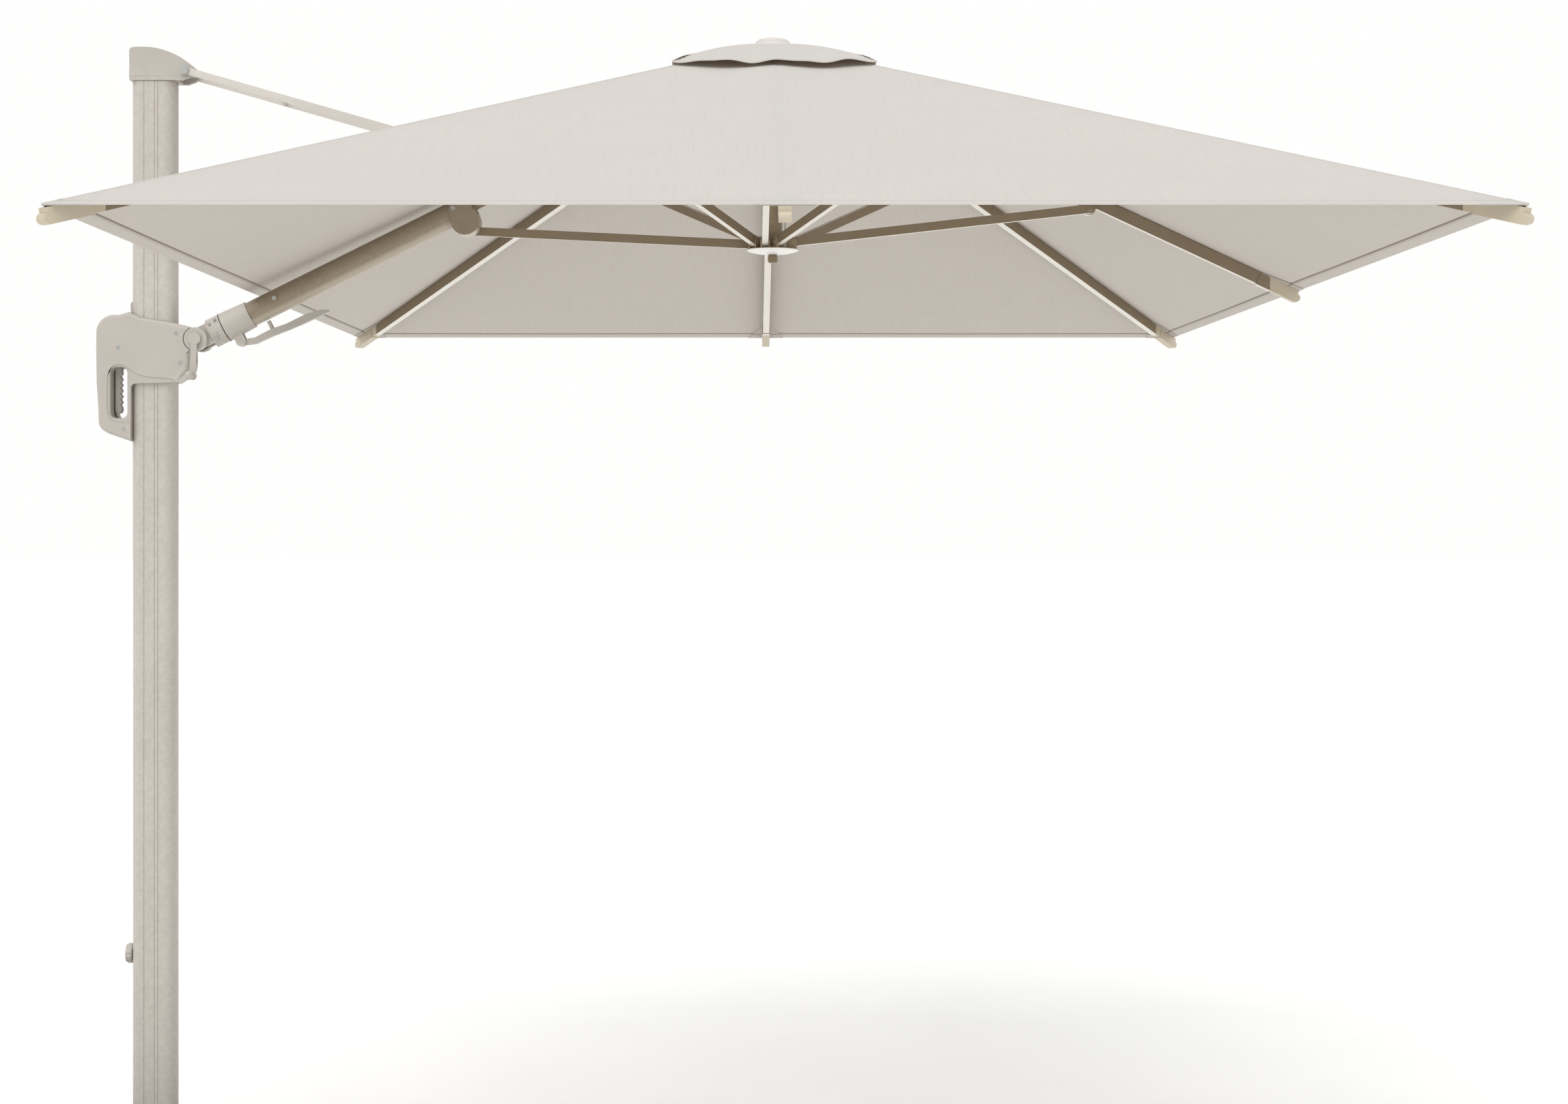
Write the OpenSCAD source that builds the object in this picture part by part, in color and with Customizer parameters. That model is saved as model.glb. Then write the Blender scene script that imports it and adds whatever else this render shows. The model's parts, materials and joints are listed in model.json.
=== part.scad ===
// Cantilever parasol, in mm: a mast on a ballasted cross carries a sloping arm and a canopy.
// The floor is Z = 0 and the mast axis is the Z axis. The arm runs from the mast towards +X.
// "Near" and "front" are towards -Y, "far" and "back" towards +Y, "right" towards +X.

/* [Canopy] */
// Width of the canopy along the arm, in mm
canopy_width = 2600; // [2500:10:2700]
// Depth of the canopy across the arm, in mm
canopy_depth = 3500; // [3200:10:3600]
// Height of the canopy rim above the floor, in mm
rim_z = 2230; // [2226:1:2234]
// Rise of the canopy from the rim to its apex, in mm
rise = 605; // [603:1:608]
// Thickness of the fabric solid, in mm
fabric_thickness = 3; // [2:0.5:4]

/* [Canopy frame] */
// Width of a rib, in mm
rib_width = 20; // [16:1:22]
// Depth of a rib, in mm
rib_depth = 29; // [24:1:31]
// Width of a stretcher, in mm
stretcher_width = 16; // [12:1:16]
// Depth of a stretcher, in mm
stretcher_depth = 24; // [18:1:24]
// Radius of the lower hub disc, in mm
disc_radius = 64; // [62:1:70]

/* [Mast] */
// Width of the mast along the arm, in mm
mast_width = 105; // [104:0.5:105]
// Depth of the mast, in mm
mast_depth = 75; // [74:0.5:75]
// Wall of the mast tube, in mm
mast_wall = 3; // [2.5:0.1:3]
// Corner radius of the mast tube, in mm
mast_corner = 24; // [18:1:30]
// Depth of the long grooves, in mm
groove_depth = 1.2; // [0.5:0.1:1.5]

/* [Arm] */
// Slope of the arm, in degrees
arm_slope = 26.37; // [26.3:0.01:26.4]
// Radius of the arm tube, in mm
arm_radius = 30.5; // [29:0.5:30.5]
// Wall of the arm tube, in mm
arm_wall = 3; // [2:0.5:4]
// Thickness of each strut bar, in mm
strut_thickness = 5; // [3:0.5:6]
// Depth of each strut bar, in mm
strut_depth = 17; // [14:1:20]

/* [Base] */
// Length of each beam of the base cross, tip to tip, in mm
cross_length = 1000; // [960:10:1100]
// Height of a ballast tank, in mm
tank_height = 70; // [60:5:72]

/* [Hidden] */
$fn = 48;
NODES = ["base_cross", "ballast_tanks", "tank_caps", "rubber_feet", "foot_flange", "foot_bush",
  "flange_bolts", "pedal_pin", "swivel_pedal", "mast_tube", "mast_foot", "top_cap", "strut_pin",
  "stop_block", "mast_knob", "strut_bars", "shell_front", "shell_back", "carriage_core",
  "glide_pads", "shell_screws", "grip_trigger", "brake_pad", "crank_arm", "winch_drum",
  "crank_grip", "knuckle_housing", "knuckle_screws", "roll_bush", "arm_socket", "arm_tube",
  "arm_end_bracket", "arm_rivets", "arm_spine", "tilt_lever", "strut_collar", "crown_hub",
  "crown_pins", "finial", "vent_canopy", "canopy_fabric", "rib_right", "rib_near", "rib_far",
  "rib_near_right", "rib_far_right", "rib_near_left", "rib_far_left", "runner_hub",
  "runner_tube", "runner_button", "cord_ball", "stretcher_left", "stretcher_right",
  "stretcher_near", "stretcher_far", "stretcher_near_right", "stretcher_far_right",
  "stretcher_near_left", "stretcher_far_left"];
node = "all";

fit = 0.05;             // running clearance of a pin in its bore
canopy_x = 1523.3;      // canopy axis
apex_z = rim_z + rise;
knuckle_x = 107.9;      // pivot of the arm on the carriage
knuckle_z = 2105.7;
strut_top_x = 81.4;     // strut pivot on the mast cap
strut_top_z = 2764;
strut_along = 882.3;    // strut pivot on the arm, along it and above it
strut_above = 42.8;
strut_end_x = knuckle_x + strut_along * cos(arm_slope) - strut_above * sin(arm_slope);
strut_end_z = knuckle_z + strut_along * sin(arm_slope) + strut_above * cos(arm_slope);
crown_z = 2797;         // rib pivots on the crown
crown_r = 40;
runner_z = 2345;        // stretcher pivots on the lower hub
runner_r = 47;
arm_length = (canopy_x - crown_r - knuckle_x) / cos(arm_slope);
arm_end_z = knuckle_z + arm_length * sin(arm_slope);
corner_angle = atan2(canopy_depth, canopy_width);
corner_reach = norm([canopy_width, canopy_depth]) / 2;

// Colours
SHELL = [0.80, 0.78, 0.75];
METAL = [0.78, 0.76, 0.73];
FABRIC = [0.85, 0.83, 0.80];
DARK = [0.25, 0.24, 0.23];
PALE = [0.86, 0.85, 0.83];
STEEL = [0.7, 0.7, 0.7];
RUBBER = [0.1, 0.1, 0.1];
BROWN = [0.45, 0.38, 0.3];

// ---------- shared shapes ----------
// Points of an arc, from one angle to another in equal steps
function arc(x, z, radius, from, to, steps) = [
  for (i = [0:steps])
    let (angle = from + (to - from) * i / steps)
    [x + radius * cos(angle), z + radius * sin(angle)]
];
module rod_y(x, z, radius, y_min, y_max)
  translate([x, y_min, z]) rotate([-90, 0, 0]) cylinder(h = y_max - y_min, r = radius);
// Rod along X, on the X axis of the current frame
module rod_x(x_min, x_max, radius)
  translate([x_min, 0, 0]) rotate([0, 90, 0]) cylinder(h = x_max - x_min, r = radius);
module box(x_min, x_max, y_min, y_max, z_min, z_max)
  translate([x_min, y_min, z_min]) cube([x_max - x_min, y_max - y_min, z_max - z_min]);
// Plate: an outline in X and Z, from y_min to y_max
module plate(outline, y_min, y_max)
  translate([0, y_max, 0]) rotate([90, 0, 0]) linear_extrude(y_max - y_min) polygon(outline);
// Flat bar between two points in X and Z
module bar(x_from, z_from, x_to, z_to, depth, y_min, y_max)
  translate([x_from, 0, z_from])
    rotate([0, -atan2(z_to - z_from, x_to - x_from), 0])
      box(0, norm([x_to - x_from, z_to - z_from]), y_min, y_max, -depth / 2, depth / 2);
module at_corners(x, y)
  for (i = [-1, 1], j = [-1, 1]) translate([i * x, j * y, 0]) children();
module rounded_rect(width, depth, radius) union() {
  square([width - 2 * radius, depth], center = true);
  square([width, depth - 2 * radius], center = true);
  at_corners(width / 2 - radius, depth / 2 - radius) circle(radius);
}
module rounded_block(width, depth, radius, z_min, z_max)
  translate([0, 0, z_min]) linear_extrude(z_max - z_min) rounded_rect(width, depth, radius);
// Mast section, with its width and depth grown by extra and its corner radius by corner
module mast_block(z_min, z_max, extra = 0, corner = 0)
  rounded_block(mast_width + extra, mast_depth + extra, mast_corner + corner, z_min, z_max);
// Children at each angle around the mast axis
module around(angles, radius = 0)
  for (angle = angles) rotate([0, 0, angle]) translate([radius, 0, 0]) children();
// Children at each [x, z] point
module at_points(points)
  for (point = points) translate([point[0], 0, point[1]]) children();
// Arm frame: X along the arm from the knuckle pivot
module at_arm() translate([knuckle_x, 0, knuckle_z]) rotate([0, -arm_slope, 0]) children();
// Canopy frame: X outward from the canopy axis
module at_azimuth(azimuth) translate([canopy_x, 0, 0]) rotate([0, 0, azimuth]) children();
module knuckle_rod(radius, y_min, y_max) rod_y(knuckle_x, knuckle_z, radius, y_min, y_max);

// ---------- base ----------
LEGS = [0:90:270];
DIAGONALS = [45:90:315];
beam_half = 30;
beam_bottom = 10;
beam_top = 50;
tank_z = 13.2;          // underside of a tank
tank_top = tank_z + tank_height;
tank_cap_y = 55;        // cap centre from the tank centre
bolt_circle = 120;      // radius of the flange bolt circle
bolt_r = 5;
bush_r = 46;            // bore of the flange
foot_r = 40;            // mast foot in its bush
pedal_x = 125;          // pedal pivot
pedal_z = 98;
pedal_pin_r = 3.95;

module base_cross() color(DARK) difference() {
  union() {
    box(-cross_length / 2, cross_length / 2, -beam_half, beam_half, beam_bottom, beam_top);
    box(-beam_half, beam_half, -cross_length / 2, cross_length / 2, beam_bottom, beam_top);
    box(-130, 130, -130, 130, beam_top, 60);
    at_corners(130, 130) translate([0, 0, 11.6]) cube([201, 201, 3], center = true);
  }
  around(LEGS, cross_length / 2 - 30) cylinder(h = 60, r = 6.5);
  around(DIAGONALS, bolt_circle) translate([0, 0, 20]) cylinder(h = 50, r = bolt_r + fit);
}
module at_tanks() at_corners(265, 265) children();
module ballast_tanks() color(DARK) difference() {
  at_tanks() difference() {
    union() {
      translate([0, 0, tank_z]) linear_extrude(tank_height) rounded_rect(450, 450, 45);
      translate([0, 0, tank_top - 1]) linear_extrude(5) rounded_rect(380, 380, 40);
    }
    for (i = [-1:1]) translate([0, i * 110, tank_top + 8]) cube([300, 24, 16], center = true);
    translate([0, tank_cap_y, tank_top - 8]) cylinder(h = 20, r = 22);
  }
  cylinder(h = 300, r = 192, $fn = 96);
}
module tank_caps() color(DARK) at_tanks()
  translate([0, tank_cap_y, tank_top - 7.9]) difference() {
    cylinder(h = 18, r = 21.9);
    translate([0, 0, 18]) cube([8, 36, 8], center = true);
  }
module rubber_feet() color(RUBBER) {
  around(LEGS, cross_length / 2 - 70) cylinder(h = beam_bottom, r = 24);
  cylinder(h = beam_bottom, r = 27);
}
module foot_flange() color(METAL) difference() {
  union() {
    translate([0, 0, 60.1]) cylinder(h = 12, r = 140, $fn = 96);
    translate([0, 0, 72]) cylinder(h = 78, r = 62);
    around(DIAGONALS) box(50, 108, -4, 4, 71, 110);
    for (y = [-18, 12.5]) box(108, 136, y, y + 5.5, 71, 110);
  }
  translate([0, 0, 50]) cylinder(h = 110, r = bush_r);
  around(DIAGONALS, bolt_circle) translate([0, 0, 50]) cylinder(h = 40, r = bolt_r + fit);
  rod_y(pedal_x, pedal_z, pedal_pin_r + fit, -30, 30);
}
module foot_bush() color(DARK) difference() {
  union() {
    translate([0, 0, 61]) cylinder(h = 89, r = bush_r - fit);
    translate([0, 0, 150.1]) cylinder(h = 3, r = 60);
    translate([0, 0, 149]) cylinder(h = 2, r = bush_r - fit);
  }
  translate([0, 0, 50]) cylinder(h = 120, r = foot_r + fit);
}
module flange_bolts() color(STEEL) around(DIAGONALS, bolt_circle) {
  translate([0, 0, 52]) cylinder(h = 22, r = bolt_r);
  translate([0, 0, 72.2]) cylinder(h = 7, r = 9.2, $fn = 6);
}
module pedal_pin() color(STEEL) {
  rod_y(pedal_x, pedal_z, pedal_pin_r, -21, 21);
  rod_y(pedal_x, pedal_z, 7, -23, -18.2);
}
module swivel_pedal() color(DARK) difference() {
  union() {
    rod_y(pedal_x, pedal_z, 11, -12, 12);
    box(88, 230, -12, 12, 92, 104);
    translate([235, 0, pedal_z]) linear_extrude(12) rounded_rect(50, 70, 12);
    // Tread bars on top of the pad
    for (i = [-2:2]) box(215 + i * 3, 255 - abs(i) * 2, i * 12 - 2, i * 12 + 2, 108, 112);
  }
  rod_y(pedal_x, pedal_z, pedal_pin_r + fit, -30, 30);
}

// ---------- mast ----------
tube_bottom = 163.5;
tube_top = strut_top_z - 24;
groove_width = 2.4;
knob_z = 593;
knob_stem_r = 4;
strut_bore_r = 5;
// Top cap outline, [x, z]
CAP_OUTLINE = concat(
  [[-55.6, 2740.6], [-55.6, 2812]],
  arc(-46, 2812, 9.6, 180, 100, 5),
  [[-36, 2822.6], [-12, 2822]],
  [for (t = [0.1:0.1:1]) [-12 + 84 * t, 2822 - 26 * pow(t, 1.75)]],
  arc(strut_top_x, strut_top_z + 1, 19.5, 62, -70, 9),
  [[74, 2740.6]]);

module mast_tube() color(METAL) difference() {
  mast_block(tube_bottom, tube_top);
  mast_block(100, 3000, -2 * mast_wall, -mast_wall);
  for (side = [-1, 1]) {
    for (x = [-20, 6, 14])
      translate([-x * side, side * (mast_depth / 2 + 2 - groove_depth), 1500])
        cube([groove_width, 4, 3200], center = true);
    for (end = [-1, 1])
      translate([end * (mast_width / 2 + 2 - groove_depth), side * 9, 1500])
        cube([4, groove_width, 3200], center = true);
  }
  translate([0, 0, knob_z]) rod_x(-60, -30, knob_stem_r + fit);
}
module mast_foot() color(DARK) {
  translate([0, 0, 66]) cylinder(h = 97.1, r = foot_r);
  translate([0, 0, 153.4]) cylinder(h = 10, r = 74, $fn = 96);
  mast_block(163, 250, -2 * mast_wall - 0.4, -mast_wall);
}
module top_cap() color(SHELL) difference() {
  union() {
    plate(CAP_OUTLINE, -40.5, 40.5);
    rod_y(strut_top_x, strut_top_z, 19.6, -40.5, 40.5);
  }
  mast_block(2700, tube_top + 0.4, 0.4);
  box(62, 120, -30, 30, 2700, strut_top_z - 8);
  rod_y(strut_top_x, strut_top_z, strut_bore_r, -60, 60);
  for (side = [-1, 1])
    translate([0, side * 41.5, strut_top_z - 14]) cube([230, 3, 1.6], center = true);
}
module strut_pin() color(STEEL) {
  rod_y(strut_top_x, strut_top_z, strut_bore_r - fit, -50, 50);
  for (y = [47, -52]) rod_y(strut_top_x, strut_top_z, 11, y, y + 5);
}
module stop_block() color(SHELL) {
  box(-58, -52.6, -14, 14, 2172, 2198);
  box(-60, -58, -10, 10, 2176, 2194);
}
module mast_knob() color(SHELL) translate([0, 0, knob_z]) difference() {
  union() {
    rod_x(-70.5, -54, 22);
    rod_x(-66.5, -56, 24.5);
    rod_x(-56, -44, knob_stem_r);
    rod_x(-54, -52.9, 12);
  }
  // Finger scallops around the rim
  for (angle = [0:45:315])
    translate([-60, 0, 0]) rotate([angle, 0, 0]) translate([0, 0, 27.5])
      rotate([0, 90, 0]) cylinder(h = 40, r = 5, center = true);
}

// ---------- strut ----------
strut_y = 41.3;         // inner face of a bar

module strut_bars() color(METAL) {
  for (side = [-1, 1]) difference() {
    y_min = side > 0 ? strut_y : -strut_y - strut_thickness;
    y_max = y_min + strut_thickness;
    boss_y = side > 0 ? 46 : -49;
    union() {
      bar(strut_top_x, strut_top_z, strut_end_x, strut_end_z, strut_depth, y_min, y_max);
      at_points([[strut_top_x, strut_top_z], [strut_end_x, strut_end_z]])
        rod_y(0, 0, 11.5, y_min, y_max);
      rod_y(strut_end_x, strut_end_z, 7, boss_y, boss_y + 3);
    }
    rod_y(strut_top_x, strut_top_z, strut_bore_r, -60, 60);
  }
  // Crossbar between the two bars
  translate([strut_top_x + 230.568, 0, strut_top_z - 66.6])
    rotate([90, 0, 0]) cylinder(h = 84, r = 6, center = true);
}

// ---------- carriage ----------
shaft_r = 8;            // crank shaft through the knuckle
trigger_x = -88.5;      // trigger pivot
trigger_z = 2046;
trigger_pin_r = 4;
crank_end_x = knuckle_x - 4;
crank_end_z = knuckle_z - 92;
crank_pin_r = 4;
// Carriage shell outline, [x, z]
SHELL_OUTLINE = concat(
  [[-56.1, 2172]],
  arc(-92, 2121, 44, 78, 172, 9),
  [[-136, 2080], [-135, 2000], [-131, 1940]],
  arc(-100, 1905, 30, 181, 236, 6),
  [[-104, 1873], [-50, 1854.5], [-50, 1982]],
  arc(-40, 1986, 10, 180, 90, 4),
  [[44, 1998.5], [54, 2000.5], [66, 2007], [84, 2019.5],
    [91.5, 2029], [94.5, 2042], [94, 2070], [94, 2128]],
  arc(84, 2128, 10, 0, 80, 4),
  [[50, 2146], [-25, 2158]]);
// Shallow recess in the front face, [x, z]
RECESS_OUTLINE = [
  [-40, 1906], [-46, 1902], [-66, 1899.5], [-86, 1901], [-98, 1907], [-105, 1918],
  [-107.5, 1934], [-108, 1990], [-107, 2014], [-103, 2028], [-95, 2038], [-84, 2043.5],
  [-72, 2043], [-60, 2037], [-48, 2028], [-34, 2019.5], [-16, 2014], [6, 2011.2],
  [34, 2010], [52, 2007.5], [62, 2001], [66, 1990], [-40, 1990]];
// Shell screw places, [x, z]
SHELL_SCREWS = [[-80, 2084], [62, 2118.4], [72, 2045.9], [-66, 1884]];
// Crank grip, [radius, distance from the crank]
GRIP_PROFILE = concat(
  [[0, -9.5], [crank_pin_r, -9.5], [crank_pin_r, 0], [7, 0], [7, 6], [5.5, 12], [5.5, 22]],
  arc(0, 32, 11, -50, 87.5, 11),
  [[0, 43]]);

// Hand slot and the space of the trigger and brake pad
module grip_slot() {
  translate([-79.5, 60, 1973.5]) rotate([90, 0, 0]) linear_extrude(120) rounded_rect(41, 125, 14);
  box(-112, -90, -12, 12, 1914, 2034);
  box(-101, -76, -12, 12, 2020, 2060);
  box(-84, -58, -12.5, 12.5, 2054, 2096);
}
// Space inside both halves of the shell
module shell_cut() {
  mast_block(1800, 2300, 2.4, 1);
  rounded_block(124, 93.8, 26, 2019.5, 2130.5);
  knuckle_rod(54, -38.5, 38.5);
  knuckle_rod(30, -60, 60);
  grip_slot();
  box(-118, -66, -38, 38, 2100, 2140);
  box(-122, -106, -38, 38, 2050, 2098);
  rod_y(trigger_x, trigger_z, trigger_pin_r + fit, -20, 20);
}
module shell_front() color(SHELL) difference() {
  plate(SHELL_OUTLINE, -50, -0.1);
  shell_cut();
  at_points(SHELL_SCREWS) {
    rod_y(0, 0, 3, -60, 0);
    rod_y(0, 0, 5.6, -60, -46);
  }
  plate(RECESS_OUTLINE, -52, -48);
}
module shell_back() color(SHELL) difference() {
  plate(SHELL_OUTLINE, 0.1, 50);
  shell_cut();
  at_points(SHELL_SCREWS) rod_y(0, 0, 3, -1, 14);
}
module carriage_core() color(DARK) difference() {
  union() {
    rounded_block(123, 93, 26, 2020, 2130);
    for (y = [-38, 30]) {
      box(50, knuckle_x, y, y + 8, knuckle_z - 14, knuckle_z + 14);
      knuckle_rod(28, y, y + 8);
    }
    knuckle_rod(28, -50, -37);
  }
  mast_block(1900, 2300, 3, 1.5);
  knuckle_rod(shaft_r + fit, -70, 60);
  box(-70, -40, -11, 11, 2057, 2093);
  at_points(SHELL_SCREWS) rod_y(0, 0, 3.3, -60, 20);
}
module glide_pads() color(PALE) for (z = [2022, 2108]) difference() {
  mast_block(z, z + 20, 2.9, 1.4);
  mast_block(z - 5, z + 25, 0.7, 0.3);
}
module shell_screws() color(STEEL) at_points(SHELL_SCREWS) difference() {
  union() {
    rod_y(0, 0, 2.95, -47, 12);
    rod_y(0, 0, 5.4, -49.6, -46.1);
  }
  translate([0, -50, 0]) {
    cube([6.4, 3, 1.2], center = true);
    cube([1.2, 3, 6.4], center = true);
  }
}
module grip_trigger() color(SHELL) difference() {
  union() {
    box(-97, -82, -11, 11, 1932, 2040);
    rod_y(-89.5, 1932, 7.5, -11, 11);
    rod_y(trigger_x, trigger_z, 8, -11, 11);
    rod_y(trigger_x, trigger_z, trigger_pin_r, -19, 19);
  }
  for (i = [0:5]) rod_y(-80, 1945 + i * 14, 5, -20, 20);
}
module brake_pad() color(DARK) {
  box(-70, -53.2, -10, 10, 2060, 2090);
  box(-72, -62, -6, 6, 2068, 2082);
}
module crank_arm() color(SHELL) difference() {
  union() {
    knuckle_rod(shaft_r, -58, 41);
    knuckle_rod(15, -62, -52);
    bar(knuckle_x, knuckle_z, crank_end_x, crank_end_z, 15, -61.5, -54.5);
    rod_y(crank_end_x, crank_end_z, 9.5, -61.8, -54);
  }
  rod_y(crank_end_x, crank_end_z, crank_pin_r + fit, -70, -40);
}
module winch_drum() color(DARK) difference() {
  union() {
    knuckle_rod(19, -14, 14);
    for (y = [-15.5, 12.5]) knuckle_rod(24, y, y + 3);
  }
  knuckle_rod(shaft_r + fit, -30, 30);
}
module crank_grip() color(SHELL) translate([crank_end_x, -62.2, crank_end_z])
  rotate([90, 0, 0]) rotate_extrude() polygon(GRIP_PROFILE);

// ---------- knuckle and arm, placed in the arm frame ----------
spigot_r = 22;          // spigot of the housing, in the arm socket
lever_x = 91.8;         // tilt lever pivot
lever_z = -50.2;
lever_pin_r = 4;
bracket_x = 720;        // centre of the round part of the end bracket
bracket_z = -32;
neck_r = 13;            // round neck of the spine, in the strut collar
pivot_bore_r = 3;       // pins and bores of the canopy frame
// Screws and rivets, [x, z] in the arm frame
KNUCKLE_SCREWS = [[44, 20], [52, -10], [60, 24], [46, -22]];
TUBE_RIVETS = [[215.6, 6]];
BRACKET_RIVETS = [[708, 8], [742, 8]];
// Tilt lever outline, [x, z] in the arm frame
LEVER_OUTLINE = [
  [92, -45.5], [126, -56], [172, -55], [210, -60], [262, -60], [300, -66], [320, -75],
  [318, -80], [296, -80], [250, -79], [212, -77], [170, -73], [122, -71.5], [90, -60]];

module knuckle_housing() color(SHELL) difference() {
  union() {
    for (y = [-29.5, 16.5]) {
      knuckle_rod(27, y, y + 13);
      at_arm() box(4, 40, y + 0.3, y + 12.7, -25.5, 25.5);
    }
    at_arm() {
      rod_x(34, 68.5, 36);
      rod_x(68, 124, spigot_r);
    }
  }
  knuckle_rod(shaft_r + fit, -60, 60);
  at_arm() at_points(KNUCKLE_SCREWS) rod_y(0, 0, 3, -60, -16);
}
module knuckle_screws() color(STEEL) at_arm() at_points(KNUCKLE_SCREWS) difference() {
  rod_y(0, 0, 2.95, -37, -18);
  translate([0, -37, 0]) cube([4.4, 2, 1], center = true);
}
module roll_bush() color(PALE) at_arm() difference() {
  rod_x(69, 70.4, 37);
  rod_x(60, 80, spigot_r + 0.1);
}
module arm_socket() color(SHELL) at_arm() difference() {
  union() {
    translate([71, 0, 0]) rotate([0, 90, 0]) cylinder(h = 70, r1 = 36.5, r2 = 33.8);
    for (y = [-14, 8.4]) {
      box(80, 104, y, y + 5.6, -50, -28);
      rod_y(lever_x, lever_z, 12, y, y + 5.6);
    }
  }
  rod_x(60, 126.3, spigot_r + fit);
  rod_x(126, 150, arm_radius);
  rod_y(lever_x, lever_z, lever_pin_r, -30, 30);
}
module arm_tube() color(METAL) at_arm() difference() {
  rod_x(126.4, 752, arm_radius - fit);
  rod_x(100, 800, arm_radius - arm_wall);
  at_points(concat(TUBE_RIVETS, BRACKET_RIVETS)) rod_y(0, 0, 3, -40, -20);
}
module arm_end_bracket() color(SHELL) at_arm() difference() {
  union() {
    rod_y(bracket_x, bracket_z, 35, -28, 28);
    box(690, 756, -28, 28, -34, 0);
    rod_y(722, -4, 29, -34.6, -31);
    box(700, 744, -34.6, -31, -34, -4);
    rod_y(bracket_x, bracket_z, 35, -34.6, -28);
  }
  rod_x(600, 900, arm_radius);
  at_points(BRACKET_RIVETS) rod_y(0, 0, 3, -50, -20);
}
module arm_rivets() color(STEEL) at_arm() {
  at_points(TUBE_RIVETS) {
    rod_y(0, 0, 2.95, -34, -27);
    rod_y(0, 0, 5.5, -33.4, -30.6);
  }
  at_points(BRACKET_RIVETS) {
    rod_y(0, 0, 2.95, -36, -27);
    rod_y(0, 0, 5.5, -37.4, -34.7);
  }
}
module arm_spine() color(PALE) at_arm() difference() {
  union() {
    rod_x(690, 752, arm_radius - arm_wall - 0.1);
    box(740, 860, -10, 10, -18, 18);
    rod_x(855, 912, neck_r);
    box(907, arm_length - 26, -10, 10, -18, 18);
    box(arm_length - 30, arm_length, -4, 4, -9, 9);
    rod_y(arm_length, 0, 9, -4, 4);
  }
  rod_y(arm_length, 0, pivot_bore_r + fit, -20, 20);
}
module tilt_lever() color(SHELL) at_arm() {
  rod_y(lever_x, lever_z, 12, -8.2, 8.2);
  rod_y(lever_x, lever_z, lever_pin_r - fit, -14.5, 14.5);
  translate([174, 0, -60]) cylinder(h = 26, r = 5);
  plate(LEVER_OUTLINE, -7.6, 7.6);
}
module strut_collar() color(SHELL) at_arm() difference() {
  union() {
    rod_x(868, 897, 17.5);
    box(strut_along - 10, strut_along + 10, -8, 8, 14, strut_above);
    rod_y(strut_along, strut_above, 10, -8, 8);
    rod_y(strut_along, strut_above, 5, -40.8, 40.8);
    for (y = [-40.8, 30.8]) rod_y(strut_along, strut_above, 8, y, y + 10);
  }
  rod_x(800, 950, neck_r + fit);
}

// ---------- crown and canopy ----------
ARM_AZIMUTH = 180;      // the arm comes in from the mast side
RIB_AZIMUTHS = [0, 90, -90, corner_angle, -corner_angle, 180 - corner_angle, corner_angle - 180];
CROWN_AZIMUTHS = concat(RIB_AZIMUTHS, [ARM_AZIMUTH]);
// Finial, [radius, z]
FINIAL_PROFILE = [
  [0, 2835.2], [18, 2834.8], [30, 2828], [50, 2823.6], [54, 2823.2], [55, 2824.6], [50, 2829],
  [44, 2835], [40.5, 2841.5], [36, 2845], [26, 2847.6], [12, 2848.7], [0, 2849]];
// Ribs: [azimuth, radius and z of the stretcher joint, reach, lift of the rib over its pivot line]
function corner_rib(azimuth) = [azimuth, 776.4, 2595, corner_reach, 4.3];
RIGHT = [0, 780.7, 2427, canopy_width / 2, 0];
NEAR = [-90, 786, 2530, canopy_depth / 2, 5];
FAR = [90, 786, 2530, canopy_depth / 2, 5];
NEAR_RIGHT = corner_rib(-corner_angle);
FAR_RIGHT = corner_rib(corner_angle);
NEAR_LEFT = corner_rib(corner_angle - 180);
FAR_LEFT = corner_rib(180 - corner_angle);

function pivot_z(azimuth) = azimuth == ARM_AZIMUTH ? arm_end_z : crown_z;
module crown_rods(radius, half_length)
  for (azimuth = CROWN_AZIMUTHS) at_azimuth(azimuth)
    rod_y(crown_r, pivot_z(azimuth), radius, -half_length, half_length);
module crown_hub() color(SHELL) difference() {
  union() {
    translate([canopy_x, 0, 2774]) cylinder(h = 41, r = 27);
    for (azimuth = CROWN_AZIMUTHS) at_azimuth(azimuth) for (y = [-8.4, 4.4]) {
      lug_z = crown_z - (azimuth == ARM_AZIMUTH ? 9.3 : 0);
      box(20, crown_r, y, y + 4, lug_z - 7, lug_z + 7);
      rod_y(crown_r, pivot_z(azimuth), 7, y, y + 4);
    }
  }
  crown_rods(pivot_bore_r, 10);
  translate([canopy_x, 0, 2700]) cylinder(h = 90, r = 18);
}
module crown_pins() color(STEEL) crown_rods(pivot_bore_r - fit, 9.4);
module finial() color(FABRIC)
  translate([canopy_x, 0, 0]) rotate_extrude() polygon(FINIAL_PROFILE);
module pyramid(width, depth, base_z, top_z) translate([canopy_x, 0, 0]) polyhedron(
  points = [
    [-width / 2, -depth / 2, base_z], [width / 2, -depth / 2, base_z],
    [width / 2, depth / 2, base_z], [-width / 2, depth / 2, base_z], [0, 0, top_z]],
  faces = [[0, 1, 2, 3], [4, 1, 0], [4, 2, 1], [4, 3, 2], [4, 0, 3]]);
module canopy_fabric() color(FABRIC) difference() {
  pyramid(canopy_width, canopy_depth, rim_z, apex_z + fabric_thickness);
  pyramid(canopy_width - 0.01, canopy_depth - 0.01, rim_z - fabric_thickness, apex_z);
  // Openings for the arm and under the vent
  box(775, 935, -54, 54, 2400, 2700);
  box(canopy_x - 130, canopy_x + 130, -175, 175, 2700, 2900);
}
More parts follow.
